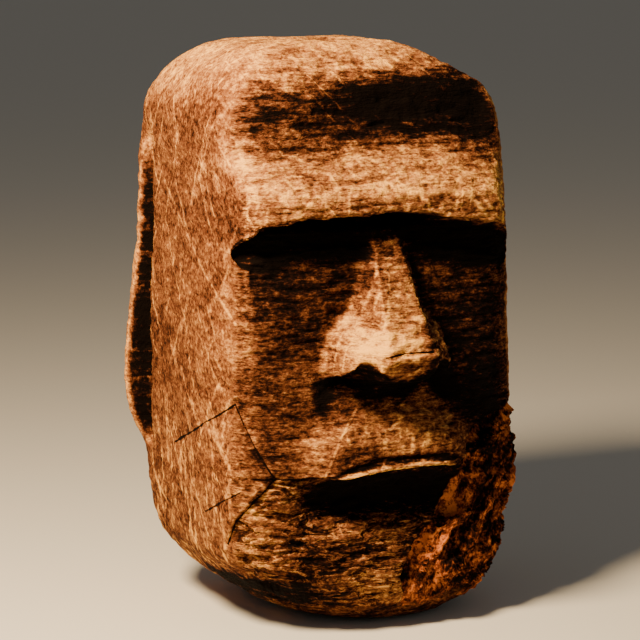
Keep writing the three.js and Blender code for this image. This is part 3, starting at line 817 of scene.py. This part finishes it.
    # How pale the stone is: by its exposure first, then by its mottling and marks.
    pale = layered(
        tree,
        (0.43,), (0.07, on_front),
        # Paler where it faces up: rain-washing and painted light from above.
        (0.26, (mask["skyward"], 0.1, 0.7)),
        (0.22, mask["corner"]),
        # Darker with stain and painted shade.
        (-0.18, mask["stained"]),
        # Paler with wear and painted highlights.
        (0.4, mask["worn"]),
        # Paler where the face stands out, as wear and painted highlight; darker where it is sunk, as painted
        # shade.
        (0.14, (mask["proud"], 0.2, 1.0)),
        (-0.18, (mask["proud"], 0.0, -0.5)),
        (0.06, mask["flaked"]),
        # Darkest where painted shade and dark growth lie.
        (-0.42, mask["dirt"]),
        (-0.4, mask["dirt"], (broad, 0.62, 0.4)),
        (0.7, patches), (-0.35,),
        (0.7, mottle), (-0.35,),
        (1.15, grain), (-0.575,),
        # Darker in the face's streaks, which lie in the skin's grooves: weathering and painted shade.
        (-0.3, dark_streaks),
        # Painted highlights along the flaked chin's ridges and painted shade in its grooves.
        (0.26, ridge_highlights, mask["flaked"]),
        (-0.2, (grooves, 0.54, 0.4), mask["flaked"]),
        (0.3, scratches),
        (0.26, long_scratch),
        (-0.7, cracked),
    )
    skin = tone_colours(tree, pale, [
        (0.02, palette["hollow"]), (0.2, palette["stain"]), (0.4, palette["brown"]), (0.6, palette["tuff"]),
        (0.8, palette["light"]), (1.0, palette["bleached"]),
    ])
    ledges = rock_ledges(tree, place, sizes["rock_size"])
    small_ledges = rock_ledges(tree, place, sizes["rock_size"] * SMALL_ROCK)
    # The raw rock's tone: painted shade between its ledges, painted highlight on them, and painted light from
    # above where it faces up.
    raw_tone = layered(
        tree, (0.82,), (-0.5, ledges), (-0.36, small_ledges), (1.6, mottle), (-0.8,), (1.8, grain), (-0.9,),
        (0.16, (mask["skyward"], 0.0, 0.6)),
    )
    raw = tone_colours(tree, raw_tone, [
        (0.06, palette["hollow"]), (0.3, palette["raw_dark"]), (0.6, palette["raw"]),
        (0.9, palette["raw_light"]),
    ])
    on_rock = layered(tree, (1.0, mask["rock"]), (0.8, mottle), (-0.4,))
    on_rock = layered(tree, (1.0, (on_rock, 0.3, 0.6)))
    stone = add(tree, "ShaderNodeMix", {0: on_rock, 6: skin, 7: raw}, 2, data_type="RGBA")

    # Relief too fine for the mesh: the pick's cuts, mottling and thin streaks.
    relief = layered(tree, (1.0, grain), (0.9, mottle), (-0.3, (fine, 0.56, 0.36), mask["streaked"]))
    bump = add(tree, "ShaderNodeBump", {"Height": relief, "Strength": 0.9, "Distance": 0.006})
    shader = add(tree, "ShaderNodeBsdfPrincipled", {
        "Base Color": stone, "Roughness": 0.95, "Specular IOR Level": 0.06, "Normal": bump,
    })
    add(tree, "ShaderNodeOutputMaterial", {0: shader})
    return material


def floor_material(colour):
    """Matt painted studio floor: an even pale coat that has no pattern."""
    material = bpy.data.materials.new("matt_studio_floor")
    material.use_nodes = True
    shader = material.node_tree.nodes["Principled BSDF"]
    shader.inputs["Base Color"].default_value = (*colour, 1.0)
    shader.inputs["Roughness"].default_value = 0.9
    return material


def length_setting(name, description, default):
    return bpy.props.FloatProperty(name=name, description=description, default=default, unit="LENGTH")


def colour_setting(name, description, default):
    return bpy.props.FloatVectorProperty(
        name=name, description=description, default=linear(default), subtype="COLOR")


class MoaiSkinSettings(bpy.types.PropertyGroup):
    columns_on_face: bpy.props.IntProperty(
        name="Columns on Face", description="Mesh columns across the face", default=168, min=40)
    wall_rings: bpy.props.IntProperty(
        name="Wall Rings", description="Mesh rings up the wall", default=262, min=60)
    lump_depth: length_setting("Lump Depth", "How far the dressed planes wander", 0.005)
    streak_spacing: length_setting("Streak Spacing", "Height of a bedding streak on the face", 0.014)
    streak_depth: length_setting("Streak Depth", "How deep the streaks have weathered", 0.005)
    peck_size: length_setting("Peck Size", "Width of a stone pick's mark", 0.026)
    peck_depth: length_setting("Peck Depth", "Depth of a stone pick's mark", 0.003)
    pit_spacing: length_setting("Pit Spacing", "Distance between lost fragments", 0.055)
    pit_depth: length_setting("Pit Depth", "Depth of the hole a fragment leaves", 0.004)
    groove_spacing: length_setting("Groove Spacing", "Height of a groove on the flaked chin", 0.026)
    groove_depth: length_setting("Groove Depth", "Depth of a groove on the flaked chin", 0.011)
    rock_size: length_setting("Rock Size", "Width of a ledge in the raw rock", 0.06)
    rock_depth: length_setting("Rock Depth", "Depth between ledges in the raw rock", 0.03)
    crack_width: length_setting("Crack Width", "Width of a crack's dark line", 0.003)
    crack_depth: length_setting("Crack Depth", "How far a crack's lips sink", 0.005)
    scratch_spacing: length_setting("Scratch Spacing", "Distance between light scratches", 0.05)
    scratch_width: length_setting("Scratch Width", "Width of a light scratch", 0.006)
    seed: bpy.props.FloatProperty(name="Seed", description="Moves every wear pattern", default=3.7)


class MoaiStoneSettings(bpy.types.PropertyGroup):
    # The darkest stop: growth and painted shade in the hollows, and the cracks.
    hollow: colour_setting("Hollows", "Growth in the hollows and cracks", "#080301")
    # Stain and painted shade in shelter.
    stain: colour_setting("Stain", "Stained stone in shelter", "#240E06")
    brown: colour_setting("Brown Tuff", "The face's stone", "#5A301A")
    tuff: colour_setting("Tuff", "The stone's usual colour", "#8C5932")
    light: colour_setting("Light Tuff", "Worn stone", "#C28A4A")
    # The palest stop: rain-washed stone and painted highlight.
    bleached: colour_setting("Bleached", "Rain-washed stone", "#F2B556")
    raw: colour_setting("Raw Rock", "Unworked rock at the jaw", "#70351A")
    # Raw rock: the pale colour also serves as painted highlight on the ledges, the dark one as painted shade
    # between them.
    raw_light: colour_setting("Pale Raw Rock", "Proud edges of the raw rock", "#C06E34")
    raw_dark: colour_setting("Dark Raw Rock", "Sheltered faces of the raw rock", "#260F07")


class MoaiStageSettings(bpy.types.PropertyGroup):
    floor: colour_setting("Floor", "Pale studio floor", "#D6D2CA")
    key_power: bpy.props.FloatProperty(
        name="Key Light", description="Power of the key light in watts", default=500.0)
    key_distance: length_setting("Key Distance", "Distance of the key light", 3.6)
    fill: bpy.props.FloatProperty(
        name="Fill Light", description="Strength of the light all round", default=0.16)
    azimuth: bpy.props.FloatProperty(
        name="Azimuth", description="Camera's way round the head", default=math.radians(-25), subtype="ANGLE")
    elevation: bpy.props.FloatProperty(
        name="Elevation", description="Camera's height angle", default=math.radians(9), subtype="ANGLE")
    distance: length_setting("Distance", "Camera's distance from the head's axis", 6.4)
    aim: bpy.props.FloatVectorProperty(
        name="Aim", description="Where the camera and the lights point", default=(0.0, 0.097, 0.727),
        subtype="TRANSLATION")


class MOAI_OT_head(bpy.types.Operator):
    """Carves the head's finished skin and gives it its stone"""

    bl_idname = "moai.head"
    bl_label = "Carve Head"

    def execute(self, context):
        settings, palette = context.scene.moai_skin, context.scene.moai_stone
        angles = column_angles(settings.columns_on_face)
        heights, shares = ring_profile(settings.wall_rings)
        bent = bent_heights(heights, angles)
        angle = np.broadcast_to(angles, bent.shape)
        share = np.broadcast_to(shares[:, None], bent.shape)
        points, masks = surface(angle, bent, share)
        if not np.isfinite(points).all():
            raise RuntimeError("the head's surface has points that are not numbers")
        for paths, width, depth in LIPS_OF_CRACKS:
            for path in paths:
                push = settings.crack_depth / MM * depth * bell(line_distance(points, path) / width)
                points = points - push[..., None] * CORNER_OUT

        poles = np.array([[FOOT_SHIFT["x"], 0, 0], [CROWN_SHIFT["x"], 0, HEIGHT]], float)
        flat = np.concatenate([points.reshape(-1, 3), poles])
        shift = np.array([0.0, CAD_BOX[1][1] / MM - flat[:, 1].max(), 0.0])
        mesh = bpy.data.meshes.new("head_block")
        mesh.from_pydata(((flat + shift) * MM).tolist(), [], closed_faces(*bent.shape))
        mesh.update()

        normals = np.zeros(len(flat) * 3)
        mesh.vertices.foreach_get("normal", normals)
        facing = normals.reshape(-1, 3)[:-2].reshape(*bent.shape, 3)
        masks["skyward"] = facing[..., 2]
        masks["corner"] = ramp(np.abs(facing[..., :2]).min(-1), *CORNER_FACING)
        masks["above_foot"] = ramp(bent, *SEAT_FADE)
        for name, values in masks.items():
            store = mesh.attributes.new(name, "FLOAT", "POINT")
            at_poles = [0.0, 1.0 if name in ("skyward", "above_foot") else 0.0]
            store.data.foreach_set("value", np.concatenate([values.ravel(), at_poles]).astype(np.float32))

        stone = tuff_material(
            {name: tuple(getattr(palette, name)) for name in MoaiStoneSettings.__annotations__},
            {name: getattr(settings, name) for name in MoaiSkinSettings.__annotations__}, shift,
        )
        block = bpy.data.objects.new("head_block", mesh)
        context.scene.collection.objects.link(block)
        worn = block.modifiers.new("worn_skin", "NODES")
        worn.node_group = skin_tree()
        for item in worn.node_group.interface.items_tree:
            if item.in_out != "INPUT" or item.socket_type == "NodeSocketGeometry":
                continue
            name = item.name.lower().replace(" ", "_")
            worn[item.identifier] = stone if name == "stone" else getattr(settings, name)
        graph = context.evaluated_depsgraph_get()
        skin = bpy.data.meshes.new_from_object(block.evaluated_get(graph), depsgraph=graph)
        bpy.data.objects.remove(block)

        places = np.zeros(len(skin.vertices) * 3)
        skin.vertices.foreach_get("co", places)
        inside = np.clip(places.reshape(-1, 3), CAD_BOX[0], CAD_BOX[1])
        skin.vertices.foreach_set("co", inside.ravel())
        skin.update()
        skin.shade_smooth()
        head = bpy.data.objects.new("moai_head_skin", skin)
        context.scene.collection.objects.link(head)
        if len(skin.vertices) < bent.size or not skin.materials:
            raise RuntimeError("the worn skin came back without its points or its stone")
        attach(head, "root")
        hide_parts("moai_head")
        return {"FINISHED"}


class MOAI_OT_stage(bpy.types.Operator):
    """Sets the pale floor, the soft lights and the camera"""

    bl_idname = "moai.stage"
    bl_label = "Set Stage"

    def execute(self, context):
        settings = context.scene.moai_stage
        mesh = bpy.data.meshes.new("studio_floor")
        reach, level = 60.0, CAD_BOX[0][2] - 0.0005
        corners = [(x * reach, y * reach, level) for x, y in ((-1, -1), (1, -1), (1, 1), (-1, 1))]
        mesh.from_pydata(corners, [], [(0, 1, 2, 3)])
        mesh.materials.append(floor_material(settings.floor))
        floor = bpy.data.objects.new("studio_floor", mesh)
        context.scene.collection.objects.link(floor)

        aim = Vector(settings.aim)
        for name, direction, distance, size, power, colour in (
            ("key_light", (-0.62, -0.37, 0.69), settings.key_distance, 0.9, settings.key_power, "#FFE0B2"),
            ("soft_fill", (0.5, -1.0, 0.35), 6.0, 4.0, settings.key_power * 0.028, "#FFF6EA"),
        ):
            light = bpy.data.lights.new(name, "AREA")
            light.shape, light.size, light.energy = "DISK", size, power
            light.color = linear(colour)
            lamp = bpy.data.objects.new(name, light)
            lamp.location = aim + Vector(direction).normalized() * distance
            lamp.rotation_euler = Vector(direction).to_track_quat("Z", "Y").to_euler()
            context.scene.collection.objects.link(lamp)
        world = bpy.data.worlds.new("studio_air")
        world.use_nodes = True
        air = world.node_tree.nodes["Background"].inputs
        air["Color"].default_value = (*linear("#E9E6E0"), 1.0)
        air["Strength"].default_value = settings.fill
        context.scene.world = world

        a, e = settings.azimuth, settings.elevation
        back = Vector((math.sin(a) * math.cos(e), -math.cos(a) * math.cos(e), math.sin(e)))
        lens = bpy.data.cameras.new("photo_view")
        lens.sensor_width = 36.0
        lens.lens = lens.sensor_width * FOCAL_LENGTH / FRAME_WIDTH
        camera = bpy.data.objects.new("photo_view", lens)
        camera.location = aim + back * settings.distance
        camera.rotation_euler = back.to_track_quat("Z", "Y").to_euler()
        context.scene.collection.objects.link(camera)
        context.scene.camera = camera
        return {"FINISHED"}


class MOAI_PT_panel(bpy.types.Panel):
    """Lists the head's and the stage's steps and sizes"""

    bl_idname = "MOAI_PT_panel"
    bl_label = "Moai Head"
    bl_space_type = "VIEW_3D"
    bl_region_type = "UI"
    bl_category = "Moai Head"

    def draw(self, context):
        layout = self.layout
        for step, owner in (("moai.head", "moai_skin"), (None, "moai_stone"), ("moai.stage", "moai_stage")):
            group = getattr(context.scene, owner)
            box = layout.box()
            if step:
                box.operator(step)
            for name in group.__annotations__:
                box.prop(group, name)


GROUPS = {"moai_skin": MoaiSkinSettings, "moai_stone": MoaiStoneSettings, "moai_stage": MoaiStageSettings}
CLASSES = (*GROUPS.values(), MOAI_OT_head, MOAI_OT_stage, MOAI_PT_panel)


def register():
    for item in CLASSES:
        bpy.utils.register_class(item)
    for name, group in GROUPS.items():
        setattr(bpy.types.Scene, name, bpy.props.PointerProperty(type=group))


def unregister():
    for name in GROUPS:
        delattr(bpy.types.Scene, name)
    for item in reversed(CLASSES):
        bpy.utils.unregister_class(item)


def main():
    register()
    bpy.ops.moai.head()
    bpy.ops.moai.stage()


if __name__ == "__main__":
    main()
